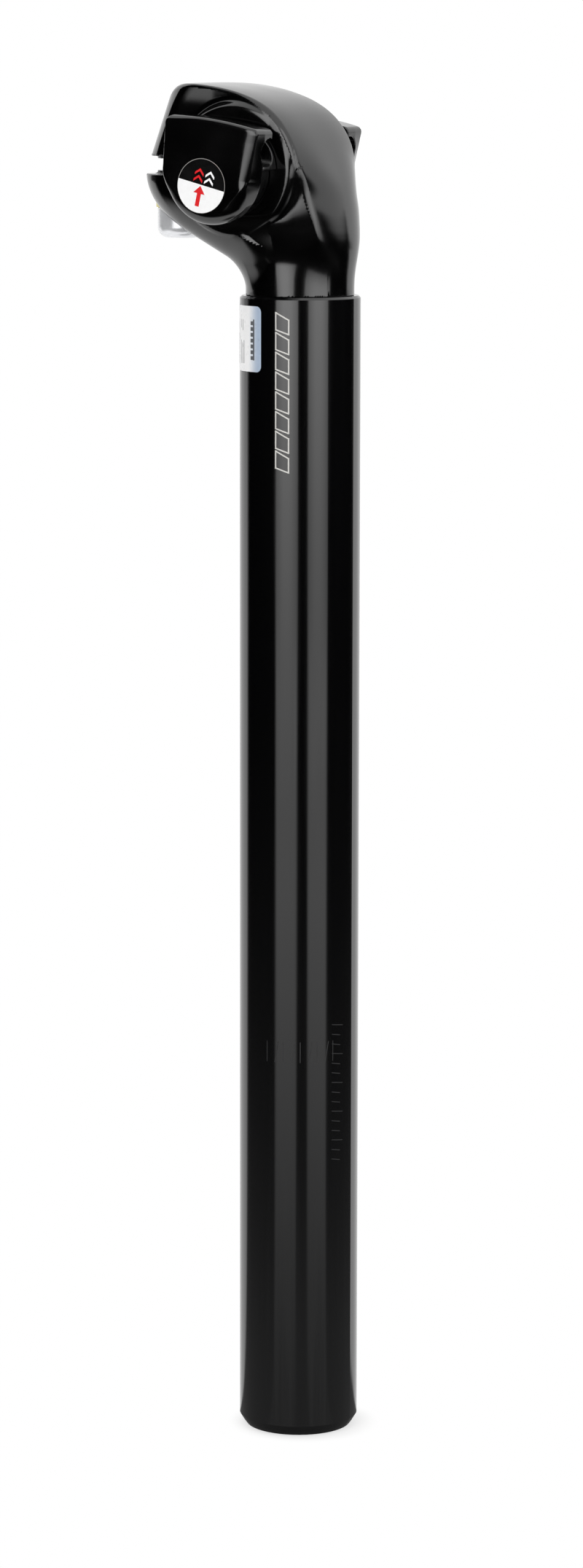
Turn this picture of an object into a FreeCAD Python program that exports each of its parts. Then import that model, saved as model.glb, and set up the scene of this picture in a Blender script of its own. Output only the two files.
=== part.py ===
"""Bicycle seatpost with a set-back head and a one-bolt clamp for round saddle rails.

Frame: millimetres, +Z up along the tube, origin at the centre of the tube's foot.
+X points forward on the bicycle, so the head sets back towards -X.
-Y is the rider's right, +Y the rider's left.

A straight tube carries a forged head. A cross bore in the head holds the clamp, and the wall
behind the bore is split, so that one screw closes it. Two inner jaws meet in the bore, each
with a cradle for a rail. Two outer clamps close on the rails from the sides. Their tongues pass
each other in the bore on slanted flats, so that closing the bore draws them together.
"""

import FreeCAD, Part
import math
import os

from FreeCAD import Vector

# Tube
tube_radius = 15.8
tube_length = 303.4
tube_wall = 2.6
tube_rim_chamfer = 0.6
tube_seat_ream = 0.06
foot_step_drop = 0.8
foot_step_height = 1.1
foot_taper_drop = 1.0
foot_taper_height = 1.65

# Neck of the head: it stands on the tube's rim, and its spigot is glued into the tube
neck_step = 1.55
neck_height = 10.0
spigot_length = 38.0
spigot_wall = 3.6
spigot_glue_gap = 0.02
seat_spare = 1.2
neck_radius = tube_radius - neck_step
tube_inner = tube_radius - tube_wall
tube_seat_radius = tube_inner + tube_seat_ream
spigot_radius = tube_seat_radius - spigot_glue_gap
tube_seat_low = tube_length - spigot_length - seat_spare

# Bore of the head, its boss and the split behind it
bore_setback = 11.0
bore_height = 32.2
bore_radius = 10.7
boss_wall = 6.6
boss_half_width = 17.3
boss_chamfer = 0.5
split_top_rise = 3.5
split_bottom_drop = 1.15
bore_x = -bore_setback
bore_z = tube_length + bore_height
boss_radius = bore_radius + boss_wall
split_low = bore_z - split_bottom_drop
split_high = bore_z + split_top_rise
split_middle = (split_low + split_high) / 2

# Band round the head, from the back of the upper jaw over the top and down the front.
# Each row: ahead of the bore's axis, above it, half width, rise of the middle over the edges.
band_path = (
    (-32.9, -0.8, 16.8, 0.3),
    (-31.2, 3.8, 16.8, 0.3),
    (-29.1, 9.4, 16.8, 0.3),
    (-27.0, 14.8, 16.6, 0.3),
    (-24.2, 19.2, 16.2, 0.3),
    (-19.2, 21.9, 15.8, 0.3),
    (-13.0, 22.5, 15.6, 0.3),
    (-6.6, 21.9, 15.4, 0.3),
    (0.2, 20.5, 15.3, 0.3),
    (6.8, 18.1, 15.4, 0.4),
    (12.0, 14.9, 15.8, 0.6),
    (16.2, 10.4, 16.3, 0.9),
    (20.8, 2.4, 15.6, 1.6),
    (23.6, -3.6, 13.9, 2.7),
    (25.7, -9.6, 12.2, 3.4),
    (26.4, -13.6, 10.7, 3.2),
    (26.3, -18.1, 9.4, 2.6),
    (25.8, -22.6, 8.2, 1.9),
    (25.1, -28.6, 6.2, 1.5),
)
band_rim = 0.8
band_fillet = 3.1
web_half_width = 13.2
web_inset = 2.6
web_depth = 6.0
web_stop = -1.0

# Front of the neck between the round neck and the band.
# Each row: height over the tube's rim, place of the edge, half width there, swell of the side.
front_back = 1.5
front_tuck = 0.2
front_sections = (
    (0.6, 11.6, 6.6, 1.9),
    (9.6, 12.1, 8.2, 1.7),
    (18.6, 11.3, 10.7, 1.1),
    (22.6, 10.2, 12.2, 0.7),
    (28.6, 8.6, 13.6, 0.3),
    (34.6, 7.2, 14.6, 0.2),
)

# Jaws behind the bore
jaw_half_width = 16.6
upper_jaw_centre = 14.6
upper_jaw_lean = 20.3
lower_jaw_centre = 16.1
underside_slope = 28.5
underside_drop = 26.1
underside_rounding = 7.0

# Screw through the jaws
screw_setback = 24.4
screw_radius = 4.0
screw_thread_radius = 3.6
screw_tip_chamfer = 0.7
screw_head_radius = 6.5
screw_head_height = 8.0
screw_head_rounding = 2.8
screw_key = 6.0
screw_key_depth = 4.6
screw_hole_gap = 0.25
thread_gap = 0.05
thread_reach = 5.6
thread_hole_spare = 0.5
washer_radius = 6.9
washer_thickness = 1.2
washer_gap = 0.25
screw_overlap = 1.0
seat_gap = 0.3
seat_floor = 7.65
pad_radius = 6.5
pad_height = 0.8
screw_x = bore_x - screw_setback
seat_z = split_low - seat_floor
screw_head_top = seat_z - washer_thickness
screw_head_bottom = screw_head_top - screw_head_height
screw_tip = split_high + thread_reach

# Clamp, in its own frame: x along the rails, z square to them, y across.
# The whole clamp is turned nose down by this angle about the bore's axis.
clamp_tilt = 8.2
rail_radius = 3.5
rail_spread = 44.0
rail_height = 6.8
rail_side = rail_spread / 2

# Inner jaws
barrel_gap = 0.05
barrel_split = 0.8
face_gap = 0.3
disc_radius = 11.4
disc_outer = 24.3
cradle_radius = 13.5
cradle_low = 2.4
cradle_top = 9.4
channel_radius = 9.3
channel_top = 1.6
slit_width = 2.0
barrel_radius = bore_radius - barrel_gap
disc_inner = boss_half_width + face_gap

# Outer clamps
plate_gap = 0.3
plate_rear_length = 13.6
plate_front_length = 13.35
plate_top = 12.6
plate_crown = 0.9
plate_rear_flare = 1.0
plate_front_taper = 0.8
plate_thickness = 4.6
plate_round_depth = 3.5
plate_round_rear = 0.3
plate_round_top = 1.4
plate_round_bottom = 2.5
plate_round_corner = 1.2
plate_round_front_high = 3.2
plate_round_front_low = 4.1
plate_bend_height = 8.8
lip_inner = 20.5
lip_chamfer = 0.8
tongue_radius = 8.3
tongue_drop = 0.2
tongue_reach = 12.0
tongue_angle = 8.0
tongue_gap = 0.2
plate_inner = disc_outer + plate_gap
plate_outer = plate_inner + plate_thickness
tongue_top = channel_top - tongue_drop

# Stuck-on marks and label
mark_radius = 7.0
mark_ahead = -1.5
mark_below = 3.7
mark_thickness = 0.15
label_width = 22.0
label_height = 17.0
label_below_rim = 2.4
label_front_angle = 11.3
label_thickness = 0.05
label_glue_gap = 0.01

# Longer than anything here, for cutting shapes
FAR = 200.0
UP = Vector(0, 0, 1)
SIDEWAYS = Vector(0, 1, 0)
ORIGIN = Vector(0, 0, 0)


def rod(radius, start, end):
    """Round bar between two points."""
    along = end - start
    return Part.makeCylinder(radius, along.Length, start, along)


def upright_rod(radius, x, z0, z1):
    """Round bar along Z in the middle plane."""
    return rod(radius, Vector(x, 0, z0), Vector(x, 0, z1))


def cross_rod(radius, x, z, y0, y1):
    """Round bar along Y."""
    return rod(radius, Vector(x, y0, z), Vector(x, y1, z))


def block(x0, x1, y0, y1, z0, z1):
    """Box between two corners."""
    return Part.makeBox(x1 - x0, y1 - y0, z1 - z0, Vector(x0, y0, z0))


def turned_about_z(outline):
    """Solid of revolution about Z from (radius, height) points."""
    points = [Vector(radius, 0, height) for radius, height in outline]
    face = Part.Face(Part.makePolygon(points + points[:1]))
    return face.revolve(ORIGIN, UP, 360)


def joined(*shapes):
    """One solid from touching shapes, without the seams between them."""
    return shapes[0].fuse(list(shapes[1:])).removeSplitter()


def circles_near(shape, point):
    """Circular edges of a shape whose centre lies on a point."""
    found = []
    for edge in shape.Edges:
        if edge.Curve.TypeId == "Part::GeomCircle":
            if (edge.Curve.Center - point).Length < 0.01:
                found.append(edge)
    return found


def mirrored(shape):
    """The same shape on the other side of the middle plane."""
    return shape.mirror(ORIGIN, SIDEWAYS)


def post_tube():
    """Straight tube with a chamfered rim, a foot turned in two stages and a reamed seat."""
    waist_radius = tube_radius - foot_taper_drop
    return turned_about_z((
        (tube_inner, 0),
        (waist_radius - foot_step_drop, 0),
        (waist_radius, foot_step_height),
        (tube_radius, foot_step_height + foot_taper_height),
        (tube_radius, tube_length - tube_rim_chamfer),
        (tube_radius - tube_rim_chamfer, tube_length),
        (tube_seat_radius, tube_length),
        (tube_seat_radius, tube_seat_low),
        (tube_inner, tube_seat_low),
    ))


def tube_label():
    """Foil label that follows the tube, on the rider's right and rearwards."""
    top = tube_length - label_below_rim
    inner = tube_radius + label_glue_gap
    outer = inner + label_thickness
    points = [
        Vector(inner, 0, top - label_height),
        Vector(outer, 0, top - label_height),
        Vector(outer, 0, top),
        Vector(inner, 0, top),
    ]
    face = Part.Face(Part.makePolygon(points + points[:1]))
    label = face.revolve(ORIGIN, UP, -math.degrees(label_width / tube_radius))
    label.rotate(ORIGIN, UP, -90 - label_front_angle)
    return label


def band_line():
    """Middle line of the band: its points and the directions square to it, outwards."""
    points = [Vector(bore_x + row[0], 0, bore_z + row[1]) for row in band_path]
    curve = Part.BSplineCurve()
    curve.interpolate(points)
    outward = []
    for point in points:
        along = curve.tangent(curve.parameter(point))[0]
        outward.append(Vector(-along.z, 0, along.x))
    return points, outward


def band():
    """Solid ribbon: crowned outside, with a hollow rounding under each edge."""
    sections = []
    points, normals = band_line()
    diagonal = band_fillet * math.sqrt(0.5)
    for point, outward, row in zip(points, normals, band_path):
        half_width = row[2]
        crown = row[3]
        floor = crown + band_rim + band_fillet

        def at(side, depth):
            return point + SIDEWAYS * side - outward * depth

        left_hollow = Part.Arc(
            at(half_width, crown + band_rim),
            at(half_width - diagonal, floor - diagonal),
            at(half_width - band_fillet, floor),
        )
        right_hollow = Part.Arc(
            at(band_fillet - half_width, floor),
            at(diagonal - half_width, floor - diagonal),
            at(-half_width, crown + band_rim),
        )
        sections.append(Part.Wire([
            Part.Arc(at(-half_width, crown), at(0, 0), at(half_width, crown)).toShape(),
            Part.makeLine(at(half_width, crown), at(half_width, crown + band_rim)),
            left_hollow.toShape(),
            Part.makeLine(at(half_width - band_fillet, floor), at(band_fillet - half_width, floor)),
            right_hollow.toShape(),
            Part.makeLine(at(-half_width, crown + band_rim), at(-half_width, crown)),
        ]))
    return Part.makeLoft(sections, True, False)


def web():
    """Flat middle of the upper head, inside the band and narrower than it."""
    points, normals = band_line()
    inner = []
    for point, outward, row in zip(points, normals, band_path):
        if row[1] > web_stop:
            inner.append(point - outward * web_inset)
    curve = Part.BSplineCurve()
    curve.interpolate(inner)
    bottom = bore_z - web_depth
    corners = (
        inner[-1],
        Vector(0, 0, bottom),
        Vector(inner[0].x, 0, bottom),
        inner[0],
    )
    edges = [curve.toShape()]
    for start, end in zip(corners, corners[1:]):
        edges.append(Part.makeLine(start, end))
    face = Part.Face(Part.Wire(edges))
    face.translate(SIDEWAYS * -web_half_width)
    return face.extrude(SIDEWAYS * 2 * web_half_width)


def neck_front():
    """Front half of the neck: its sides run from the round neck out to the band's edges."""
    sections = []
    for height, edge, half_width, swell in front_sections:
        z = tube_length + height
        beside = Vector(-front_back, neck_radius - front_tuck, z)
        corner = Vector(edge, half_width, z)
        chord = corner - beside
        bulge = (beside + corner) / 2 + Vector(-chord.y, chord.x, 0).normalize() * swell

        def other(point):
            return Vector(point.x, -point.y, point.z)

        sections.append(Part.Wire([
            Part.Arc(beside, bulge, corner).toShape(),
            Part.makeLine(corner, other(corner)),
            Part.Arc(other(corner), other(bulge), other(beside)).toShape(),
            Part.makeLine(other(beside), beside),
        ]))
    return Part.makeLoft(sections, True, False)


def plan(back_centre, back_radius, front_centre, front_radius, z):
    """Level face over two round ends and the straight flanks that touch them both."""
    turn = math.asin((back_radius - front_radius) / (front_centre - back_centre))

    def touch(x, radius, side):
        return Vector(x + radius * math.sin(turn), side * radius * math.cos(turn), z)

    back_left = touch(back_centre, back_radius, 1)
    back_right = touch(back_centre, back_radius, -1)
    front_left = touch(front_centre, front_radius, 1)
    front_right = touch(front_centre, front_radius, -1)
    back = Part.Arc(back_left, Vector(back_centre - back_radius, 0, z), back_right)
    front = Part.Arc(front_right, Vector(front_centre + front_radius, 0, z), front_left)
    return Part.Face(Part.Wire([
        back.toShape(),
        Part.makeLine(back_right, front_right),
        front.toShape(),
        Part.makeLine(front_left, back_left),
    ]))


def upper_room():
    """Everything inside the leaning round end of the upper jaw."""
    lean = math.tan(math.radians(upper_jaw_lean))
    centre = bore_x - upper_jaw_centre - lean * (split_high - split_middle)
    level = plan(centre, jaw_half_width, centre + FAR, jaw_half_width, split_middle)
    return level.extrude(Vector(lean, 0, 1) * FAR / 2)


def lower_body():
    """Lower jaw and throat over a sloping underside with rounded edges."""
    slope = math.radians(underside_slope)

    def underside(x):
        return bore_z - underside_drop - (x - bore_x) * math.tan(slope)

    crossing = bore_x - (split_middle - bore_z + underside_drop) / math.tan(slope)
    corners = [
        Vector(crossing, 0, split_middle),
        Vector(FAR, 0, underside(FAR)),
        Vector(FAR, 0, split_middle),
    ]
    face = Part.Face(Part.makePolygon(corners + corners[:1]))
    face.translate(SIDEWAYS * -FAR / 2)
    wedge = face.extrude(SIDEWAYS * FAR)
    column = plan(bore_x - lower_jaw_centre, jaw_half_width, 0, neck_radius, 0)
    body = wedge.common(column.extrude(UP * split_middle))
    rounded = []
    for edge in body.Edges:
        middle = edge.valueAt((edge.FirstParameter + edge.LastParameter) / 2)
        if abs(middle.z - underside(middle.x)) < 0.01 and middle.x < 0:
            rounded.append(edge)
    body = body.makeFillet(underside_rounding, rounded)
    return body.common(block(-FAR, 0, -FAR, FAR, 0, FAR * 2))


def head():
    """Forged head with its neck, boss, band, split jaws and machined holes."""
    ribbon = band()
    upper = web().fuse(ribbon).common(upper_room())
    front_room = block(-1, FAR, -FAR, FAR, 0, split_middle)
    front = ribbon.common(front_room)
    boss = cross_rod(boss_radius, bore_x, bore_z, -boss_half_width, boss_half_width)
    rims = circles_near(boss, Vector(bore_x, -boss_half_width, bore_z))
    rims += circles_near(boss, Vector(bore_x, boss_half_width, bore_z))
    boss = boss.makeChamfer(boss_chamfer, rims)
    neck = upright_rod(neck_radius, 0, tube_length, tube_length + neck_height)
    spigot = upright_rod(spigot_radius, 0, tube_length - spigot_length, tube_length + neck_step)
    whole = lower_body()
    for part in (boss, neck, spigot, neck_front(), front, upper):
        whole = whole.fuse(part)

    split = block(-FAR, bore_x, -FAR, FAR, split_low, split_high)
    pads = upright_rod(pad_radius, screw_x, split_low, split_high)
    slot = block(-FAR, 0, -FAR, FAR, split_low + pad_height, split_high - pad_height)
    whole = whole.cut(split.cut(pads.cut(slot)))

    hollow = upright_rod(spigot_radius - spigot_wall, 0, 0, tube_length)
    bore = cross_rod(bore_radius, bore_x, bore_z, -FAR, FAR)
    seat = upright_rod(washer_radius + seat_gap, screw_x, 0, seat_z)
    clearance = upright_rod(screw_radius + screw_hole_gap, screw_x, 0, split_low + pad_height)
    thread = upright_rod(screw_thread_radius + thread_gap, screw_x,
                         0, screw_tip + thread_hole_spare)
    for hole in (hollow, bore, seat, clearance, thread):
        whole = whole.cut(hole)
    return whole


def clamp_bolt():
    """Socket-head screw, head below and rounded, threaded end above."""
    cap = upright_rod(screw_head_radius, screw_x, screw_head_bottom, screw_head_top)
    cap = cap.makeFillet(
        screw_head_rounding, circles_near(cap, Vector(screw_x, 0, screw_head_bottom)))
    shank_end = split_high - screw_overlap
    shank = upright_rod(screw_radius, screw_x, screw_head_top - screw_overlap, shank_end)
    thread = upright_rod(screw_thread_radius, screw_x, shank_end - screw_overlap, screw_tip)
    thread = thread.makeChamfer(
        screw_tip_chamfer, circles_near(thread, Vector(screw_x, 0, screw_tip)))
    corner = screw_key / math.sqrt(3)
    points = []
    for turn in range(0, 420, 60):
        angle = math.radians(turn)
        points.append(Vector(
            screw_x + corner * math.cos(angle), corner * math.sin(angle), 0))
    key = Part.Face(Part.makePolygon(points)).extrude(UP * (screw_head_bottom + screw_key_depth))
    return joined(cap, shank, thread).cut(key)


def bolt_washer():
    """Flat washer between the screw's head and its seat in the lower jaw."""
    disc = upright_rod(washer_radius, screw_x, screw_head_top, seat_z)
    return disc.cut(upright_rod(screw_radius + washer_gap, screw_x, 0, FAR * 2))


def placed(shape):
    """From the clamp's frame to the post's."""
    shape.rotate(ORIGIN, SIDEWAYS, clamp_tilt)
    shape.translate(Vector(bore_x, 0, bore_z))
    return shape


def rail_room():
    """The space of the rail on the rider's left."""
    return rod(rail_radius, Vector(-FAR, rail_side, rail_height), Vector(FAR, rail_side, rail_height))


def inner_jaw():
    """Left barrel half for the bore, with a disc and the cradle of one rail."""
    barrel = cross_rod(barrel_radius, 0, 0, barrel_split / 2, disc_inner)
    disc = cross_rod(disc_radius, 0, 0, disc_inner, disc_outer)
    cradle = cross_rod(cradle_radius, 0, 0, disc_inner, disc_outer)
    cradle = cradle.common(block(-FAR, FAR, 0, FAR, cradle_low, cradle_top))
    above_rail = block(-FAR, FAR, rail_side, FAR, rail_height - rail_radius, FAR)
    above_cradle = block(-FAR, FAR, disc_inner, FAR, cradle_top, FAR)
    channel = cross_rod(channel_radius, 0, 0, -1, FAR)
    channel = channel.common(block(-FAR, FAR, -1, FAR, -FAR, channel_top))
    slit = block(-slit_width / 2, slit_width / 2, -1, disc_inner, -FAR, -channel_radius / 2)
    jaw = joined(barrel, disc, cradle)
    return jaw.cut([rail_room(), above_rail, above_cradle, channel, slit])


def plate_outline(share, side):
    """Outline of the plate, drawn in by a share of each rounding."""
    rear = plate_round_rear * share - plate_rear_length
    top = plate_top - plate_round_top * share
    bottom = plate_round_bottom * share - plate_front_length
    corner = plate_front_length - plate_front_taper - plate_round_corner * share
    front_bend = (plate_front_length - plate_front_taper * plate_bend_height / plate_top
                  - plate_round_front_high * share)
    front_low = plate_front_length - plate_round_front_low * share
    rear_top = Vector(rear - plate_rear_flare, side, top)
    rear_low = Vector(rear, side, 0)
    front_corner = Vector(front_low, side, 0)
    front_middle = Vector(front_bend, side, plate_bend_height)
    front_top = Vector(corner, side, top)
    crest = Vector((rear + corner) / 2, side, top + plate_crown)
    lowest = Vector((rear + front_low) / 2, side, bottom)
    return Part.Wire([
        Part.makeLine(rear_top, rear_low),
        Part.Arc(rear_low, lowest, front_corner).toShape(),
        Part.makeLine(front_corner, front_middle),
        Part.makeLine(front_middle, front_top),
        Part.Arc(front_top, crest, rear_top).toShape(),
    ])


def side_plate():
    """Left plate: its outer edges round over, widely in front and below, with a lip on top."""
    sections = []
    for step in (0.0, 0.5, 0.8, 0.95, 1.0):
        share = 1 - math.sqrt(1 - step * step)
        sections.append(plate_outline(share, plate_outer - plate_round_depth * (1 - step)))
    rounded = Part.makeLoft(sections, True, True)
    level = Part.Face(plate_outline(0, plate_inner))
    flat = level.extrude(SIDEWAYS * (plate_thickness - plate_round_depth))
    lip = Part.Face(plate_outline(0, lip_inner)).extrude(SIDEWAYS * (plate_inner + 1 - lip_inner))
    lip = lip.common(block(-FAR, FAR, -FAR, FAR, rail_height, FAR))
    corners = []
    for edge in lip.Edges:
        middle = edge.CenterOfMass
        if abs(middle.y - lip_inner) < 0.01 and middle.z > plate_top:
            corners.append(edge)
    lip = lip.makeChamfer(lip_chamfer, corners)
    return joined(flat, rounded, lip).cut(rail_room())


def left_tongue():
    """Rear half of a bar cut on a slanted flat: it widens towards its free end."""
    bar = cross_rod(tongue_radius, 0, 0, -tongue_reach, plate_inner + 1)
    bar = bar.common(block(-FAR, FAR, -FAR, FAR, -FAR, tongue_top))
    rear = block(-FAR, -tongue_gap / 2, -FAR, FAR, -FAR, FAR)
    rear.rotate(ORIGIN, UP, tongue_angle)
    return bar.common(rear)


def outer_clamp_left():
    """Left plate with the rear tongue."""
    return joined(side_plate(), left_tongue())


def outer_clamp_right():
    """Right plate with the front tongue, which is the rear one turned half round."""
    tongue = left_tongue()
    tongue.rotate(ORIGIN, UP, 180)
    return joined(mirrored(side_plate()), tongue)


def orientation_label():
    """Thin round sticker on the outside of the left plate."""
    return cross_rod(mark_radius, mark_ahead, -mark_below, plate_outer, plate_outer + mark_thickness)


os.makedirs("parts", exist_ok=True)
nodes = {
    "post_tube": post_tube(),
    "head": head(),
    "tube_label": tube_label(),
    "clamp_bolt": clamp_bolt(),
    "bolt_washer": bolt_washer(),
    "inner_jaw_left": placed(inner_jaw()),
    "inner_jaw_right": placed(mirrored(inner_jaw())),
    "outer_clamp_left": placed(outer_clamp_left()),
    "outer_clamp_right": placed(outer_clamp_right()),
    "orientation_label_left": placed(orientation_label()),
    "orientation_label_right": placed(mirrored(orientation_label())),
}
for name, shape in nodes.items():
    if not shape.isValid() or len(shape.Solids) != 1:
        print("CHECK", name, shape.isValid(), len(shape.Solids))
    shape.exportStep("parts/" + name + ".step")
    print(name, round(shape.Volume, 1))
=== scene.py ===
import math

import bmesh
import bpy
import numpy as np
from mathutils import Matrix, Vector


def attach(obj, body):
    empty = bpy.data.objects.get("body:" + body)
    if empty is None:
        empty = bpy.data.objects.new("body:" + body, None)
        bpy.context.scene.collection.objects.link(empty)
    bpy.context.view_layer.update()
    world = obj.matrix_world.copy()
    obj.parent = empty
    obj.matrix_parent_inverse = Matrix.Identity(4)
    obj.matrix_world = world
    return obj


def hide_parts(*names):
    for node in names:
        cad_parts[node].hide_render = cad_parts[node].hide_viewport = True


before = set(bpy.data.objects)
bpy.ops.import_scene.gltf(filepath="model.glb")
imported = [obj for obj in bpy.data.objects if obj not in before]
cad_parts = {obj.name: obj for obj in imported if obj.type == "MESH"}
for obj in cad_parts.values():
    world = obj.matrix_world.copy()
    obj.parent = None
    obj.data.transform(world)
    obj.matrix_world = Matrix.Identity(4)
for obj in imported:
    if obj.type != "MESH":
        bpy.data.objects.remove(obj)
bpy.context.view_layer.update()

MM = 0.001

# Sizes that the pieces share, in millimetres, the same as the solids have
TUBE_RADIUS = 15.8
RIM_Z = 303.4
NECK_RADIUS = 14.25
BORE_X = -11.0
BORE_Z = 335.6
BORE_RADIUS = 10.7
BOSS_RADIUS = 17.3
BOSS_HALF = 17.3
SPLIT_LOW = 334.45
SPLIT_HIGH = 339.1
SPLIT_MIDDLE = (SPLIT_LOW + SPLIT_HIGH) / 2
SCREW_X = -35.4
SEAT_RADIUS = 7.2
SEAT_Z = 326.8
SCREW_HOLE = 4.25
THREAD_HOLE = 3.65
THREAD_LOW = 336.0
THREAD_HIGH = 345.2
CLAMP_TILT = math.radians(8.2)


# Camera, floor and light

def toward(azimuth, level, up):
    """Direction at an angle in degrees round from -Y, its level part and its rise given."""
    turn = math.radians(azimuth)
    return (level * math.sin(turn), -level * math.cos(turn), up)


# How far round the camera stands, in degrees, and the two lit panels, and half of what each spans
VIEW_TURN = 28.5
LEFT_TURN = math.radians(3.0)
LEFT_HALF = math.radians(21.2)
RIGHT_TURN = math.radians(63.2)
RIGHT_HALF = math.radians(19.4)
PANEL_AWAY = 1.5
PANEL_HEIGHT = 2.4
PANEL_MIDDLE = 1.22
LEFT_STRENGTH = 2.5
RIGHT_STRENGTH = 2.2

# The bright parts of the room, and how near to each of them it turns from dark to bright
BRIGHT_SIDE = toward(202.5, 0.75, 0.66)
BRIGHT_SIDE_EDGE = (0.40, 0.50)
OVERHEAD = toward(120.0, 0.5, 0.866)
OVERHEAD_EDGE = (0.47, 0.60)
ROOM_DARK = 0.001

# Floor: a painted shade round the foot, set a little off its middle, where less of its white is glow
# and more is plain light, in which the real shadow shows; how much of its white is glow there, the
# shade's middle, and how far the shade goes
FLOOR_RADIUS = 6.0
PAINTED_SHADE_WHITE = 0.64
SHADE_MIDDLE = (0.0013, 0.0007, 0.0)
SHADE_EDGE = (0.0143, 0.021)


def aim_camera():
    """Camera at the photograph's angle and distance."""
    distance = 1.225
    height = 0.3668
    tilt = math.radians(8.93)
    yaw = math.radians(-0.098)
    roll = math.radians(-0.090)
    frame_height = 2151.0
    focal_length = 6418.0
    data = bpy.data.cameras.new("camera")
    data.sensor_width = 36.0
    data.lens = focal_length * data.sensor_width / frame_height
    data.clip_start = 0.05
    data.clip_end = 20.0
    camera = bpy.data.objects.new("camera", data)
    bpy.context.collection.objects.link(camera)
    turn = Matrix.Rotation(math.radians(VIEW_TURN), 4, "Z")
    place = turn @ Matrix.Translation((0, -distance, height))
    look = Matrix.Rotation(-yaw, 4, "Z") @ Matrix.Rotation(math.pi / 2 - tilt, 4, "X")
    camera.matrix_world = place @ look @ Matrix.Rotation(-roll, 4, "Z")
    bpy.context.scene.camera = camera


def link(tree, start, end):
    """One wire between two sockets."""
    tree.links.new(start, end)


def bare_material(name):
    """Material with nothing in its node tree but the output."""
    material = bpy.data.materials.new(name)
    material.use_nodes = True
    tree = material.node_tree
    tree.nodes.clear()
    return material, tree, tree.nodes.new("ShaderNodeOutputMaterial").inputs["Surface"]


def new_material(name):
    """Material with one shader and its output."""
    material, tree, surface = bare_material(name)
    shader = tree.nodes.new("ShaderNodeBsdfPrincipled")
    link(tree, shader.outputs["BSDF"], surface)
    return material, tree, shader


def maths(tree, operation, *values):
    """One sum on numbers or sockets."""
    node = tree.nodes.new("ShaderNodeMath")
    node.operation = operation
    for socket, value in zip(node.inputs, values):
        if isinstance(value, (int, float)):
            socket.default_value = value
        else:
            link(tree, value, socket)
    return node.outputs[0]


def between(tree, value, low, high, start=0.0, end=1.0):
    """Soft step of a value from one number to another."""
    remap = tree.nodes.new("ShaderNodeMapRange")
    remap.interpolation_type = "SMOOTHSTEP"
    remap.inputs["From Min"].default_value = low
    remap.inputs["From Max"].default_value = high
    remap.inputs["To Min"].default_value = start
    remap.inputs["To Max"].default_value = end
    link(tree, value, remap.inputs["Value"])
    return remap.outputs["Result"]


def mixed(tree, share, first, second):
    """Two shaders mixed."""
    mix = tree.nodes.new("ShaderNodeMixShader")
    link(tree, share, mix.inputs["Fac"])
    link(tree, first, mix.inputs[1])
    link(tree, second, mix.inputs[2])
    return mix.outputs[0]


def painted_floor_reflection(tree):
    """Painted reflection: a glow that only polished pieces see on the floor, white underfoot with a
    painted shadow close to the foot, a painted pool of light, and the panels' gleam painted far off.
    """
    behind_way = toward(VIEW_TURN + 180.0, 1.0, 0.0)
    panel_rim = (-0.05, 0.03)
    strip_from = 0.70
    strip_gain = 6.7
    strip_most = 2.2
    pool_fade = -3.0
    pool_most = 0.19
    place = tree.nodes.new("ShaderNodeSeparateXYZ")
    link(tree, tree.nodes.new("ShaderNodeTexCoord").outputs["Object"], place.inputs[0])
    x = place.outputs["X"]
    y = place.outputs["Y"]
    square = maths(tree, "ADD", maths(tree, "MULTIPLY", x, x), maths(tree, "MULTIPLY", y, y))
    away = maths(tree, "SQRT", square)
    turn = maths(tree, "ARCTAN2", x, maths(tree, "MULTIPLY", y, -1.0))
    left = maths(tree, "ABSOLUTE", maths(tree, "SUBTRACT", turn, LEFT_TURN))
    right = maths(tree, "ABSOLUTE", maths(tree, "SUBTRACT", turn, RIGHT_TURN))
    left = between(tree, left, LEFT_HALF + panel_rim[0], LEFT_HALF + panel_rim[1], 1.0, 0.0)
    right = between(tree, right, RIGHT_HALF + panel_rim[0], RIGHT_HALF + panel_rim[1], 1.0, 0.0)
    facing = tree.nodes.new("ShaderNodeLayerWeight").outputs["Facing"]
    # Painted strips where the panels would be reflected, brighter at a slant
    strip = maths(tree, "MULTIPLY", maths(tree, "SUBTRACT", facing, strip_from), strip_gain)
    strip = maths(tree, "MINIMUM", maths(tree, "MAXIMUM", strip, 0.0), strip_most)
    near = between(tree, away, 0.85, 1.0, 1.0, 0.0)
    grazing = between(tree, facing, 0.80, 0.84)
    strip = maths(tree, "MULTIPLY", strip, maths(tree, "MAXIMUM", near, grazing))
    strips = maths(tree, "MULTIPLY", strip, maths(tree, "ADD", left, right))
    # Painted pool of light round the foot
    pool = maths(tree, "EXPONENT", maths(tree, "MULTIPLY", away, pool_fade))
    pool = maths(tree, "MULTIPLY", pool, pool_most)
    behind = maths(tree, "ADD", maths(tree, "MULTIPLY", x, behind_way[0]),
                   maths(tree, "MULTIPLY", y, behind_way[1]))
    sector = between(tree, maths(tree, "DIVIDE", behind, away), 0.42, 0.56)
    shallow = maths(tree, "MAXIMUM", maths(tree, "MAXIMUM", strips, pool), sector)
    # White behind the foot, darkened close to it as a painted shadow
    under = between(tree, behind, -0.30, -0.18)
    under = maths(tree, "MULTIPLY", under, between(tree, away, 0.03, 0.12, 0.1, 1.0))
    steep = between(tree, facing, 0.44, 0.74, 1.0, 0.0)
    return maths(tree, "ADD", maths(tree, "MULTIPLY", steep, under),
                 maths(tree, "MULTIPLY", maths(tree, "SUBTRACT", 1.0, steep), shallow))


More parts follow.
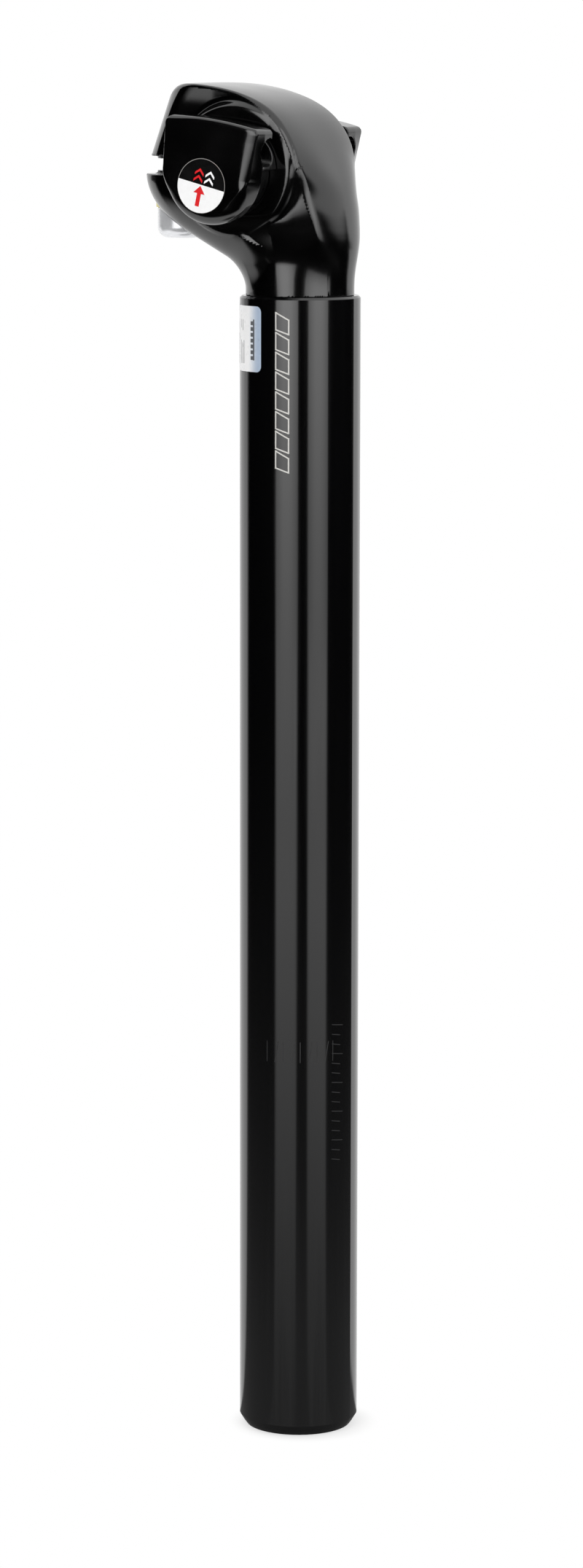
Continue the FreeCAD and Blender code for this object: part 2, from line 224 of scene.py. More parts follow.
def floor_material():
    """White floor, with a painted shade round the foot in which the object's real shadow shows."""
    material, tree, surface = bare_material("studio_floor")
    paper = tree.nodes.new("ShaderNodeBsdfDiffuse")
    paper.inputs["Color"].default_value = (0.9, 0.9, 0.9, 1)
    glow = tree.nodes.new("ShaderNodeEmission")
    glow.inputs["Strength"].default_value = 1.0
    # Painted reflection: glossy rays see this glow pattern instead of the lit paper
    gleam = tree.nodes.new("ShaderNodeEmission")
    link(tree, painted_floor_reflection(tree), gleam.inputs["Strength"])
    path = tree.nodes.new("ShaderNodeLightPath")
    place = tree.nodes.new("ShaderNodeVectorMath")
    place.operation = "DISTANCE"
    place.inputs[1].default_value = SHADE_MIDDLE
    link(tree, tree.nodes.new("ShaderNodeTexCoord").outputs["Object"], place.inputs[0])
    # Painted shade: near the foot less of the floor's white is glow, so it is darker there whatever
    # light falls on it
    white = between(tree, place.outputs["Value"], *SHADE_EDGE, PAINTED_SHADE_WHITE, 1.0)
    seen = maths(tree, "MAXIMUM", path.outputs["Is Camera Ray"], path.outputs["Is Transmission Ray"])
    seen = maths(tree, "MULTIPLY", seen, white)
    plain = mixed(tree, seen, paper.outputs[0], glow.outputs[0])
    link(tree, mixed(tree, path.outputs["Is Glossy Ray"], plain, gleam.outputs[0]), surface)
    return material


def circle(count):
    """Points round a circle of radius 1."""
    turns = [2 * math.pi * i / count for i in range(count)]
    return [(math.cos(turn), math.sin(turn)) for turn in turns]


def lay_floor():
    """Round floor under the post."""
    rim = [(FLOOR_RADIUS * x, FLOOR_RADIUS * y, 0) for x, y in circle(96)]
    mesh = bpy.data.meshes.new("floor")
    mesh.from_pydata(rim, [], [list(range(len(rim)))])
    mesh.materials.append(floor_material())
    floor = bpy.data.objects.new("floor", mesh)
    bpy.context.collection.objects.link(floor)
    floor.location.z = -0.0002


def light_world():
    """White behind and above the object, and dark around the camera."""
    world = bpy.data.worlds.new("studio")
    bpy.context.scene.world = world
    world.use_nodes = True
    tree = world.node_tree
    tree.nodes.clear()
    output = tree.nodes.new("ShaderNodeOutputWorld")
    seen = tree.nodes.new("ShaderNodeBackground")
    seen.inputs["Color"].default_value = (1, 1, 1, 1)
    seen.inputs["Strength"].default_value = 1.0
    room = tree.nodes.new("ShaderNodeBackground")
    room.inputs["Color"].default_value = (1, 1, 1, 1)
    place = tree.nodes.new("ShaderNodeTexCoord")
    parts = []
    for way, edge in ((BRIGHT_SIDE, BRIGHT_SIDE_EDGE), (OVERHEAD, OVERHEAD_EDGE)):
        along = tree.nodes.new("ShaderNodeVectorMath")
        along.operation = "DOT_PRODUCT"
        along.inputs[1].default_value = way
        link(tree, place.outputs["Generated"], along.inputs[0])
        parts.append(between(tree, along.outputs["Value"], *edge, ROOM_DARK, 1.0))
    link(tree, maths(tree, "MAXIMUM", *parts), room.inputs["Strength"])
    camera_ray = tree.nodes.new("ShaderNodeLightPath").outputs["Is Camera Ray"]
    link(tree, mixed(tree, camera_ray, room.outputs[0], seen.outputs[0]), output.inputs["Surface"])


def panel_material(strength):
    """Lit cloth, brightest in the middle, dimmer at its sides and foot."""
    material, tree, surface = bare_material("panel")
    lit = tree.nodes.new("ShaderNodeEmission")
    place = tree.nodes.new("ShaderNodeSeparateXYZ")
    link(tree, tree.nodes.new("ShaderNodeTexCoord").outputs["Generated"], place.inputs[0])
    edge = maths(tree, "ABSOLUTE", maths(tree, "SUBTRACT", place.outputs["X"], 0.5))
    wide = between(tree, edge, 0.1, 0.5, strength, strength * 0.7)
    tall = between(tree, place.outputs["Z"], 0.0, 0.12, 0.45, 1.0)
    link(tree, maths(tree, "MULTIPLY", wide, tall), lit.inputs["Strength"])
    link(tree, lit.outputs[0], surface)
    return material


def hang_panel(name, turn, half_turn, strength):
    """Upright lit panel that faces the post, seen only in what it lights."""
    half = PANEL_AWAY * math.tan(half_turn)
    low = PANEL_MIDDLE - PANEL_HEIGHT / 2
    high = PANEL_MIDDLE + PANEL_HEIGHT / 2
    mesh = bpy.data.meshes.new(name)
    mesh.from_pydata([(-half, 0, low), (half, 0, low), (half, 0, high), (-half, 0, high)],
                     [], [[0, 3, 2, 1]])
    mesh.materials.append(panel_material(strength))
    panel = bpy.data.objects.new(name, mesh)
    bpy.context.collection.objects.link(panel)
    panel.matrix_world = Matrix.Rotation(turn, 4, "Z") @ Matrix.Translation((0, -PANEL_AWAY, 0))
    panel.visible_camera = False


def light_studio():
    """Two tall panels beside the camera."""
    hang_panel("left_panel", LEFT_TURN, LEFT_HALF, LEFT_STRENGTH)
    hang_panel("right_panel", RIGHT_TURN, RIGHT_HALF, RIGHT_STRENGTH)


# Finishes

def noise(tree, place, scale, detail=3.0, roughness=0.5):
    """Noise on the piece's own coordinates, in turns per metre."""
    texture = tree.nodes.new("ShaderNodeTexNoise")
    texture.inputs["Scale"].default_value = scale
    texture.inputs["Detail"].default_value = detail
    texture.inputs["Roughness"].default_value = roughness
    link(tree, place, texture.inputs["Vector"])
    return texture.outputs["Fac"]


def spread(tree, value, low, high):
    """A noise value brought between two limits."""
    remap = tree.nodes.new("ShaderNodeMapRange")
    remap.inputs["From Min"].default_value = 0.3
    remap.inputs["From Max"].default_value = 0.7
    remap.inputs["To Min"].default_value = low
    remap.inputs["To Max"].default_value = high
    link(tree, value, remap.inputs["Value"])
    return remap.outputs["Result"]


def bump(tree, shader, value, depth):
    """Surface relief of a given depth in metres."""
    relief = tree.nodes.new("ShaderNodeBump")
    relief.inputs["Distance"].default_value = depth
    relief.inputs["Strength"].default_value = 1.0
    link(tree, value, relief.inputs["Height"])
    link(tree, relief.outputs["Normal"], shader.inputs["Normal"])


def own_place(tree):
    """The piece's own coordinates."""
    return tree.nodes.new("ShaderNodeTexCoord").outputs["Object"]


def stretched(tree, place, scale):
    """Coordinates scaled along each axis."""
    mapping = tree.nodes.new("ShaderNodeMapping")
    mapping.inputs["Scale"].default_value = scale
    link(tree, place, mapping.inputs["Vector"])
    return mapping.outputs["Vector"]


def painted_black():
    """Gloss black paint on the forged head."""
    material, tree, shader = new_material("gloss_black_paint")
    place = own_place(tree)
    shader.inputs["Base Color"].default_value = (0.0007, 0.0007, 0.0008, 1)
    shader.inputs["IOR"].default_value = 1.75
    link(tree, spread(tree, noise(tree, place, 90.0), 0.11, 0.17), shader.inputs["Roughness"])
    bump(tree, shader, noise(tree, place, 700.0, 2.0), 0.000004)
    return material


def anodised_black(name, low, high):
    """Black anodised aluminium with fine drawing marks along the tube."""
    material, tree, shader = new_material(name)
    place = own_place(tree)
    shader.inputs["Base Color"].default_value = (0.0012, 0.0012, 0.0014, 1)
    shader.inputs["IOR"].default_value = 1.75
    drawn = stretched(tree, place, (1.0, 1.0, 0.02))
    link(tree, spread(tree, noise(tree, drawn, 900.0, 2.0), low, high), shader.inputs["Roughness"])
    bump(tree, shader, noise(tree, drawn, 1400.0, 2.0), 0.0000008)
    return material


def plain_metal(name, colour, metal, low, high, scale):
    """Bare or plated steel, its shine spread a little by fine turning marks."""
    material, tree, shader = new_material(name)
    place = own_place(tree)
    shader.inputs["Base Color"].default_value = (*colour, 1)
    shader.inputs["Metallic"].default_value = metal
    link(tree, spread(tree, noise(tree, place, scale), low, high), shader.inputs["Roughness"])
    turned = stretched(tree, place, (0.1, 0.1, 1.0))
    bump(tree, shader, noise(tree, turned, 4000.0, 2.0), 0.000002)
    return material


def print_finish(name, colour, low, high, painted_sheen=None):
    """Printed ink or film, slightly uneven in tone; where a sheen colour is given, a painted sheen
    turns the colour towards it at a slant.
    """
    material, tree, shader = new_material(name)
    place = own_place(tree)
    tint = tree.nodes.new("ShaderNodeMixRGB")
    tint.inputs["Color1"].default_value = (*colour, 1)
    tint.inputs["Color2"].default_value = (*[0.9 * part for part in colour], 1)
    link(tree, noise(tree, place, 900.0), tint.inputs["Fac"])
    if painted_sheen:
        # Painted sheen: the colour turns towards the sheen colour where the surface is seen at a slant
        facing = tree.nodes.new("ShaderNodeLayerWeight").outputs["Facing"]
        slant = tree.nodes.new("ShaderNodeMixRGB")
        slant.inputs["Color2"].default_value = (*painted_sheen, 1)
        link(tree, between(tree, facing, 0.27, 0.50), slant.inputs["Fac"])
        link(tree, tint.outputs["Color"], slant.inputs["Color1"])
        tint = slant
    link(tree, tint.outputs["Color"], shader.inputs["Base Color"])
    link(tree, spread(tree, noise(tree, place, 500.0), low, high), shader.inputs["Roughness"])
    bump(tree, shader, noise(tree, place, 1500.0, 2.0), 0.000003)
    return material


def dress(node, material):
    """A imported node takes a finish."""
    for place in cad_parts[node].material_slots:
        place.material = material


def as_piece(name, mesh):
    """Object of a finished mesh."""
    piece = bpy.data.objects.new(name, mesh)
    bpy.context.collection.objects.link(piece)
    return piece


# Head: one skin drawn over all of its forms, with their roundings.
# A form is a function that gives the distance outside it, in millimetres, below nought inside.

BAND = (
    # ahead of the bore's axis, above it, half width, rise of the middle
    (-33.9, -4.4, 16.8, 0.3),
    (-32.9, -0.8, 16.8, 0.3),
    (-31.2, 3.8, 16.8, 0.3),
    (-29.1, 9.4, 16.8, 0.3),
    (-27.0, 14.8, 16.6, 0.3),
    (-24.2, 19.2, 16.2, 0.3),
    (-19.2, 21.9, 15.8, 0.3),
    (-13.0, 22.5, 15.6, 0.3),
    (-6.6, 21.9, 15.4, 0.3),
    (0.2, 20.5, 15.3, 0.3),
    (6.8, 18.1, 15.4, 0.4),
    (12.0, 14.9, 15.8, 0.6),
    (16.2, 10.4, 16.3, 0.9),
    (20.8, 2.4, 15.3, 2.2),
    (23.6, -3.6, 14.0, 4.2),
    (25.15, -9.6, 13.0, 4.3),
    (25.65, -13.6, 12.1, 4.0),
    (26.0, -18.1, 10.8, 3.6),
    (25.9, -22.6, 8.5, 2.8),
    (25.4, -27.0, 7.3, 2.3),
    (25.25, -34.0, 7.1, 2.15),
)

NECK_SIDE = (
    # height, place of the front edge, half width there, swell of the side
    (303.4, 12.1, 7.15, 1.8),
    (308.6, 12.1, 7.3, 1.65),
    (313.0, 11.9, 8.5, 1.3),
    (317.5, 11.4, 10.8, 0.8),
    (322.0, 10.65, 12.1, 0.3),
    (326.0, 9.85, 13.0, 0.0),
    (332.0, 8.4, 14.0, -0.3),
    (338.0, 7.6, 15.3, -0.4),
)

# The dished side: the band's rim stands over it, and it falls away to the web in the middle
BAND_RIM = 0.8
DISH_LENGTH = 9.0
WEB_HALF = 13.2

# The two jaws behind the bore: half width, place and lean of their rear ends, slope of the underside
JAW_HALF = 16.6
UPPER_JAW_REAR = -14.6
UPPER_JAW_LEAN = math.radians(20.3)
LOWER_JAW_REAR = -16.1
UNDER_SLOPE = math.radians(28.5)
UNDER_DROP = 26.1
UNDER_HOLLOW = 0.009

# The neck: how much wider it gets under the boss, from what height, and over what length
NECK_FLARE = 2.6
FLARE_LOW = 311.5
FLARE_LENGTH = 12.0
COLUMN_TOP = 316.0


def smooth_curve(rows, count):
    """Points on a smooth curve through rows of numbers, the first two its place."""
    rows = np.array(rows, float)
    steps = np.hypot(*np.diff(rows[:, :2], axis=0).T)
    knots = np.concatenate([[0], np.cumsum(steps)])
    size = len(rows)
    system = np.zeros((size, size))
    right = np.zeros((size, rows.shape[1]))
    system[0, 0] = system[-1, -1] = 1
    for i in range(1, size - 1):
        before = knots[i] - knots[i - 1]
        after = knots[i + 1] - knots[i]
        system[i, i - 1:i + 2] = before, 2 * (before + after), after
        right[i] = 6 * ((rows[i + 1] - rows[i]) / after - (rows[i] - rows[i - 1]) / before)
    bend = np.linalg.solve(system, right)
    at = np.linspace(0, knots[-1], count)
    low = np.clip(np.searchsorted(knots, at, side="right") - 1, 0, size - 2)
    gap = (knots[low + 1] - knots[low])[:, None]
    a = (knots[low + 1] - at)[:, None] / gap
    b = 1 - a
    curved = ((a ** 3 - a) * bend[low] + (b ** 3 - b) * bend[low + 1]) * gap ** 2 / 6
    return a * rows[low] + b * rows[low + 1] + curved


band_line = smooth_curve(BAND, 220)
band_line[:, 0] += BORE_X
band_line[:, 1] += BORE_Z
neck_table = smooth_curve(NECK_SIDE, 300)
band_way = np.gradient(band_line[:, :2], axis=0)
band_way /= np.hypot(*band_way.T)[:, None]


def ease(t):
    """Soft step from 0 to 1."""
    t = np.clip(t, 0, 1)
    return t * t * (3 - 2 * t)


def meet(a, b, radius):
    """Where two forms overlap, their common edge rounded."""
    corner = np.hypot(np.maximum(a + radius, 0), np.maximum(b + radius, 0))
    return np.minimum(np.maximum(a, b), -radius) + corner


def join(a, b, radius):
    """Both forms, the inner corner between them rounded."""
    return -meet(-a, -b, radius)


def from_band(x, z):
    """Distance outside the band's middle line, with the band's half width and rise there."""
    shape = x.shape
    x = x.ravel()
    z = z.ravel()
    out = np.empty((3, x.size))
    start = band_line[:-1]
    step = band_line[1:] - start
    for low in range(0, x.size, 20000):
        px = x[low:low + 20000]
        pz = z[low:low + 20000]
        middle = start + step / 2
        near = ((px[:, None] - middle[:, 0]) ** 2 + (pz[:, None] - middle[:, 1]) ** 2).argmin(axis=1)
        before = (px - start[near, 0]) * band_way[near, 0] + (pz - start[near, 1]) * band_way[near, 1]
        ahead = near + 1
        after = ((px - band_line[ahead, 0]) * band_way[ahead, 0]
                 + (pz - band_line[ahead, 1]) * band_way[ahead, 1])
        share = np.clip(before / np.maximum(before - after, 0.02), -2, 3)
        share = np.where(near == 0, np.maximum(share, 0), share)
        share = np.where(near == len(start) - 1, np.minimum(share, 1), share)
        dx = px - start[near, 0] - share * step[near, 0]
        dz = pz - start[near, 1] - share * step[near, 1]
        side = dz * step[near, 0] - dx * step[near, 1]
        out[0, low:low + 20000] = np.hypot(dx, dz) * np.sign(side)
        for k in (1, 2):
            out[k, low:low + 20000] = start[near, k + 1] + share * step[near, k + 1]
    return [part.reshape(shape) for part in out]


def neck_half(z):
    """Half width of the neck under the boss: round at the tube, wider above."""
    return NECK_RADIUS + NECK_FLARE * ease((z - FLARE_LOW) / FLARE_LENGTH)


def neck_side(x, z):
    """Half width of the neck's side between the round neck and the band's edge."""
    edge, width, swell = [np.interp(z, neck_table[:, 0], neck_table[:, k]) for k in (1, 2, 3)]
    t = x / edge
    half = neck_half(z)
    curved = half + (width - half) * t + 4 * swell * t * (1 - t)
    slant = width + 0.5 * (edge - x)
    soft = 2.0
    sloped = np.minimum(half, slant) - np.maximum(soft - np.abs(half - slant), 0) ** 2 / (4 * soft)
    upper = ease((z - 315.0) / 7.0)
    return curved * (1 - upper) + sloped * upper


def plan_form(x, y, back, back_radius, front, front_radius):
    """Distance outside two round ends and the flanks that touch them."""
    length = front - back
    lean = (back_radius - front_radius) / length
    square = np.sqrt(1 - lean * lean)
    along = x - back
    side = -lean * y + square * along
    round_back = np.hypot(along, y) - back_radius
    round_front = np.hypot(along - length, y) - front_radius
    flank = square * y + lean * along - back_radius
    return np.where(side < 0, round_back, np.where(side > square * length, round_front, flank))


def upper_head(x, y, z, skin, flank):
    """Distance outside the head above the split: band, dished side and the upper jaw's round end."""
    centre = BORE_X + UPPER_JAW_REAR + math.tan(UPPER_JAW_LEAN) * (z - SPLIT_HIGH)
    end = (np.hypot(np.minimum(x - centre, 0), y) - JAW_HALF) * 0.95
    upper = meet(meet(skin, flank, 0.7), end, 1.2)
    return np.maximum(upper, SPLIT_MIDDLE - z)


def lower_head(x, y, z, skin, flank):
    """Distance outside the lower jaw, the neck and the band's lower part."""
    under = BORE_Z - UNDER_DROP - (x - BORE_X) * math.tan(UNDER_SLOPE) + UNDER_HOLLOW * y * y
    below = (under - z) * math.cos(UNDER_SLOPE)
    half = neck_half(z)
    plan = plan_form(x, y, BORE_X + LOWER_JAW_REAR, JAW_HALF, 0.0, half)
    jaw = meet(plan, below, 7.0)
    column = np.maximum(np.hypot(x, y * NECK_RADIUS / half) - NECK_RADIUS, z - COLUMN_TOP)
    body = join(jaw, column, 0.01 + 5.0 * ease((-x - 1.0) / 8.0))
    body = np.where(x > 0, flank, np.maximum(body, z - SPLIT_MIDDLE))
    crease = 0.12 + 0.9 * ease((z - 318.0) / 16.0)
    return meet(skin, body, crease)


def with_boss(whole, x, y, z, floor):
    """The round boss joined to the head, softly wherever it stands out far enough."""
    reach = np.hypot(x - BORE_X, z - BORE_Z)
    boss_half = BOSS_HALF - 0.9 * ease((325.0 - z) / 6.0)
    boss = meet(reach - BOSS_RADIUS, y - boss_half, 1.4)
    beside = np.where((x > 0) | (z > SPLIT_MIDDLE), floor, neck_half(z))
    most = 2.6 - 2.4 * ease((325.0 - z) / 5.0)
    return join(whole, boss, np.clip(0.95 * (boss_half - beside), 0.02, most))


def with_cuts(whole, x, y, z):
    """The head with its split, bore, screw seat and holes, and its flat end on the tube's rim."""
    middle = np.abs(z - SPLIT_MIDDLE)
    half = (SPLIT_HIGH - SPLIT_LOW) / 2
    screw = np.hypot(x - SCREW_X, y)
    pad = np.maximum(screw - 6.5, half - 0.8 - middle)
    split = np.maximum(np.maximum(x - BORE_X, middle - half), -pad)
    whole = meet(whole, -split, 0.3)
    whole = meet(whole, BORE_RADIUS - np.hypot(x - BORE_X, z - BORE_Z), 0.3)
    seat = np.maximum(screw - SEAT_RADIUS, z - SEAT_Z)
    whole = meet(whole, -seat, 0.25)
    plain = np.maximum(screw - SCREW_HOLE, z - THREAD_LOW)
    hole = np.minimum(plain, np.maximum(screw - THREAD_HOLE, z - THREAD_HIGH))
    whole = meet(whole, -hole, 0.1)
    return meet(whole, RIM_Z - z, 0.2)


def head_form(x, y, z, side=None):
    """Distance outside the head. side holds from_band(x, z) where it is known already."""
    y = np.abs(y)
    outside, width, rise = from_band(x, z) if side is None else side
    crown = 2.4 + 1.2 * ease((z - 328.0) / 10.0)
    across = y / width
    skin = outside + rise * (np.minimum(across, 1.0) ** crown + 0.3 * np.clip(across - 1.0, 0, 0.5))
    web = WEB_HALF + 1.6 * ease((343.0 - z) / 12.0)
    lower = ease((336.0 - z) / 14.0)
    floor = web * (1 - lower) + neck_side(x, z) * lower
    fall = (1 - np.clip((-skin - BAND_RIM) / DISH_LENGTH, 0, 1)) ** 2
    flank = (y - floor - (width - web) * (1 - lower) * fall) * 0.9
    whole = np.minimum(lower_head(x, y, z, skin, flank), upper_head(x, y, z, skin, flank))
    return with_cuts(with_boss(whole, x, y, z, floor), x, y, z)


def net(values, low, step):
    """Closed mesh of quads where values on a grid pass through nought."""
    cells = tuple(n - 1 for n in values.shape)
    total = np.zeros(cells + (3,))
    count = np.zeros(cells)
    quads = []
    crossings = []
    for axis in range(3):
        first = np.moveaxis(values, axis, 0)[:-1]
        last = np.moveaxis(values, axis, 0)[1:]
        flip = (first < 0) != (last < 0)
        along, across, up = np.nonzero(flip)
        start = first[along, across, up]
        share = start / (start - last[along, across, up])
        others = [n for n in range(3) if n != axis]
        index = np.empty((len(along), 3))
        index[:, axis] = along + share
        index[:, others[0]] = across
        index[:, others[1]] = up
        for one in (0, -1):
            for two in (0, -1):
                cell = np.empty((len(along), 3), int)
                cell[:, axis] = along
                cell[:, others[0]] = across + one
                cell[:, others[1]] = up + two
                np.add.at(total, tuple(cell.T), index)
                np.add.at(count, tuple(cell.T), 1)
        crossings.append((axis, others, along, across, up, start < 0))
    used = np.nonzero(count)
    number = np.full(cells, -1)
    number[used] = np.arange(len(used[0]))
    points = total[used] / count[used][:, None] * step + low
    for axis, others, along, across, up, out in crossings:
        ring = []
        for one, two in ((-1, -1), (0, -1), (0, 0), (-1, 0)):
            cell = np.empty((len(along), 3), int)
            cell[:, axis] = along
            cell[:, others[0]] = across + one
            cell[:, others[1]] = up + two
            ring.append(number[tuple(cell.T)])
        ring = np.stack(ring, 1)
        turned = out if axis != 1 else ~out
        ring[~turned] = ring[~turned][:, ::-1]
        quads.append(ring)
    return points, np.concatenate(quads)


def slope_of(form, points, reach=0.02):
    """Value of a form at points, and its gradient."""
    value = form(*points.T)
    slope = np.empty_like(points)
    for axis in range(3):
        shift = np.zeros(3)
        shift[axis] = reach
        slope[:, axis] = (form(*(points + shift).T) - form(*(points - shift).T)) / (2 * reach)
    return value, slope


def settle(form, points, quads, step, rounds=2):
    """Evens out the points and brings them on to the form's surface."""
    count = np.zeros(len(points))
    for k in range(4):
        np.add.at(count, quads[:, k], 2)
    for _ in range(rounds):
        total = np.zeros_like(points)
        for k in range(4):
            np.add.at(total, quads[:, k], points[quads[:, (k + 1) % 4]])
            np.add.at(total, quads[:, k], points[quads[:, (k + 3) % 4]])
        points = points * 0.5 + total / count[:, None] * 0.5
        value, slope = slope_of(form, points)
        move = slope * (value / np.maximum((slope ** 2).sum(1), 0.25))[:, None]
        size = np.linalg.norm(move, axis=1)
        move *= np.minimum(1, 0.5 * step / np.maximum(size, 1e-9))[:, None]
        points = points - move
    return points


def in_clamp(points):
    """Points in the clamp's own frame, brought to their place."""
    c = math.cos(CLAMP_TILT)
    s = math.sin(CLAMP_TILT)
    x, y, z = points.T
    return np.stack([x * c + z * s, y, z * c - x * s], 1)


def skin_over(name, form, low, high, step, grid_side=None, clamped=False):
    """Plain mesh over a form, in metres."""
    axes = [np.arange(a, b + step, step) for a, b in zip(low, high)]
    if grid_side:
        x, z = np.meshgrid(axes[0], axes[2], indexing="ij")
        side = [part[:, None, :] for part in grid_side(x, z)]
        values = form(axes[0][:, None, None], axes[1][None, :, None], axes[2][None, None, :], side)
    else:
        values = form(axes[0][:, None, None], axes[1][None, :, None], axes[2][None, None, :])
    points, quads = net(values, np.array([a[0] for a in axes]), step)
    points = settle(form, points, quads, step)
    slope = slope_of(form, points)[1]
    slope /= np.linalg.norm(slope, axis=1)[:, None]
    if clamped:
        points = in_clamp(points) + (BORE_X, 0, BORE_Z)
        slope = in_clamp(slope)
    mesh = bpy.data.meshes.new(name)
    mesh.from_pydata(points * MM, [], quads)
    mesh.shade_smooth()
    mesh.normals_split_custom_set_from_vertices(slope)
    return as_piece(name, mesh)


def make_head(material):
    """Head, from its neck up."""
    low = (-45.6, -18.2, 302.9)
    high = (17.0, 18.2, 359.0)
    head = skin_over("head_skin", head_form, low, high, 0.42, from_band)
    head.data.materials.append(material)
    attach(head, "post")
    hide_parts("head")


# Clamp pieces, in the clamp's own frame: x along the rails, s outward, z up

RAIL_RADIUS = 3.5
RAIL_SIDE = 22.0
RAIL_HEIGHT = 6.8
PLATE_INNER = 24.6
PLATE_OUTER = 29.2
LIP_INNER = 20.5
DISC_INNER = 17.6
DISC_OUTER = 24.3
CRADLE_TOP = 9.4
PLATE_REAR = 13.6
PLATE_FRONT = 13.35
PLATE_ROUND = 13.47
PLATE_TOP = 13.5
TONGUE_RADIUS = 8.3
TONGUE_TOP = 1.4
TONGUE_END = 12.0
TONGUE_SLANT = math.radians(8)
BARREL_RADIUS = 10.65
DISC_RADIUS = 11.4
CRADLE_RADIUS = 13.5
CHANNEL_RADIUS = 9.3
CHANNEL_TOP = 1.6


def plate_form(x, s, z, tongue_side):
    """Distance outside a side plate with its lip and tongue."""
    rear = -(x + PLATE_REAR + 0.0794 * z) * 0.997
    share = np.clip((s - PLATE_INNER) / (PLATE_OUTER - PLATE_INNER), 0, 1.2)
    taper = np.clip(0.26 + 0.2 * (10.85 - z), 0.2, 2.6) * share
    taper = taper * ease(x / 8.0) * ease((z + 11.0) / 9.0)
    front = (x - PLATE_FRONT + 0.0635 * z + taper) * 0.95
    lower = np.hypot(x + 0.12, z) - PLATE_ROUND + taper * 0.95
    edge = np.where(z < 0, lower, np.maximum(rear, front))
    top = z - PLATE_TOP + (x + 1.0) ** 2 / 206.0
    sweep = np.clip(1 + front / (2.0 + 0.15 * np.clip(z + 1.0, 0, 10)), 0, 1.2) ** 2.6
    outer = s - PLATE_OUTER + 0.8 * sweep * ease((z + 5.0) / 4.0)
    shell = meet(outer, edge, 0.3 + 2.6 * ease((-z - 1.0) / 7.0))
    shell = meet(shell, top, 1.2 + 0.8 * ease((-x - 4.0) / 10.0))
    inner = np.minimum(np.maximum(LIP_INNER - s, RAIL_HEIGHT - z), PLATE_INNER - s)
    shell = meet(shell, inner, 0.3)
    groove = np.hypot(s - RAIL_SIDE, z - RAIL_HEIGHT)
    shell = meet(shell, RAIL_RADIUS - groove, 0.25)
    tongue = meet(np.hypot(x, z) - TONGUE_RADIUS, z - TONGUE_TOP, 0.3)
    tongue = meet(tongue, np.maximum(-TONGUE_END - s, s - PLATE_INNER - 1.0), 0.3)
    flat = x * math.cos(TONGUE_SLANT) + s * math.sin(TONGUE_SLANT) + 0.1 * tongue_side
    tongue = meet(tongue, tongue_side * flat, 0.25)
    return np.minimum(shell, tongue)


def jaw_form(x, s, z):
    """Distance outside a barrel half with its disc and rail cradle."""
    reach = np.hypot(x, z)
    barrel = meet(reach - BARREL_RADIUS, np.maximum(0.4 - s, s - DISC_INNER - 0.5), 0.3)
    span = np.maximum(DISC_INNER - s, s - DISC_OUTER)
    disc = meet(meet(reach - DISC_RADIUS, span, 0.3), z - CRADLE_TOP, 0.3)
    cradle = meet(reach - CRADLE_RADIUS, span, 0.35)
    cradle = meet(cradle, np.maximum(2.4 - z, z - CRADLE_TOP), 0.35)
    jaw = np.minimum(np.minimum(barrel, disc), cradle)
    groove = np.hypot(s - RAIL_SIDE, z - RAIL_HEIGHT)
    jaw = meet(jaw, RAIL_RADIUS - groove, 0.25)
    jaw = meet(jaw, np.minimum(s - RAIL_SIDE, z - RAIL_HEIGHT + RAIL_RADIUS), 0.2)
    jaw = meet(jaw, -np.maximum(reach - CHANNEL_RADIUS, z - CHANNEL_TOP), 0.2)
    slit = np.maximum(np.maximum(np.abs(x) - 1.0, s - DISC_INNER), z + 4.65)
    return meet(jaw, -slit, 0.2)


def make_clamp(plate_finish, jaw_material):
    """Side plates and inner jaws, on both sides."""
    for hand, way in (("right", -1), ("left", 1)):
        def plate(x, y, z):
            return plate_form(x, way * y, z, way)

        def jaw(x, y, z):
            return jaw_form(x, way * y, z)

        start, end = sorted((-12.6 * way, 29.8 * way))
        low = (-15.2, start, -14.0)
        high = (14.0, end, 14.2)
        piece = skin_over("plate_" + hand, plate, low, high, 0.3, clamped=True)
        piece.data.materials.append(plate_finish)
        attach(piece, hand + "_clamp")
        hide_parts("outer_clamp_" + hand)
        start, end = sorted((-0.2 * way, 24.9 * way))
        low = (-14.1, start, -12.0)
        high = (14.1, end, 10.9)
        piece = skin_over("cradle_" + hand, jaw, low, high, 0.3, clamped=True)
        piece.data.materials.append(jaw_material)
        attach(piece, "clamp_core")
        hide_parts("inner_jaw_" + hand)


# Screw and washer

SCREW_HEAD_LOW = 317.6
SCREW_HEAD_HIGH = 325.6
SCREW_HEAD_RADIUS = 6.5
SCREW_KEY = 6.0
SCREW_KEY_HIGH = 322.2
SHANK_RADIUS = 4.0
SHANK_HIGH = 338.1
THREAD_RADIUS = 3.6
SCREW_TIP = 344.7
HEX_TURNS = [math.radians(90 + 60 * i) for i in range(3)]
WASHER_RADIUS = 6.9
WASHER_HOLE = 4.25


def screw_form(x, y, z):
    """Distance outside the screw: domed head with a hexagon socket, and its shank."""
    reach = np.hypot(x - SCREW_X, y)
    cap = meet(meet(reach - SCREW_HEAD_RADIUS, SCREW_HEAD_LOW - z, 2.8), z - SCREW_HEAD_HIGH, 0.3)
    flats = [np.abs((x - SCREW_X) * math.cos(turn) + y * math.sin(turn)) for turn in HEX_TURNS]
    socket = np.maximum(np.maximum(flats[0], flats[1]), flats[2]) - SCREW_KEY / 2
    cap = meet(cap, -np.maximum(socket, z - SCREW_KEY_HIGH), 0.2)
    shank = meet(reach - SHANK_RADIUS, np.maximum(SCREW_HEAD_HIGH - 0.5 - z, z - SHANK_HIGH), 0.1)
    thread = meet(reach - THREAD_RADIUS, np.maximum(SHANK_HIGH - 0.5 - z, z - SCREW_TIP), 0.5)
    return np.minimum(np.minimum(cap, shank), thread)


def washer_form(x, y, z):
    """Distance outside the washer."""
    reach = np.hypot(x - SCREW_X, y)
    flat = np.maximum(SCREW_HEAD_HIGH - z, z - SEAT_Z)
    return meet(np.maximum(reach - WASHER_RADIUS, WASHER_HOLE - reach), flat, 0.2)


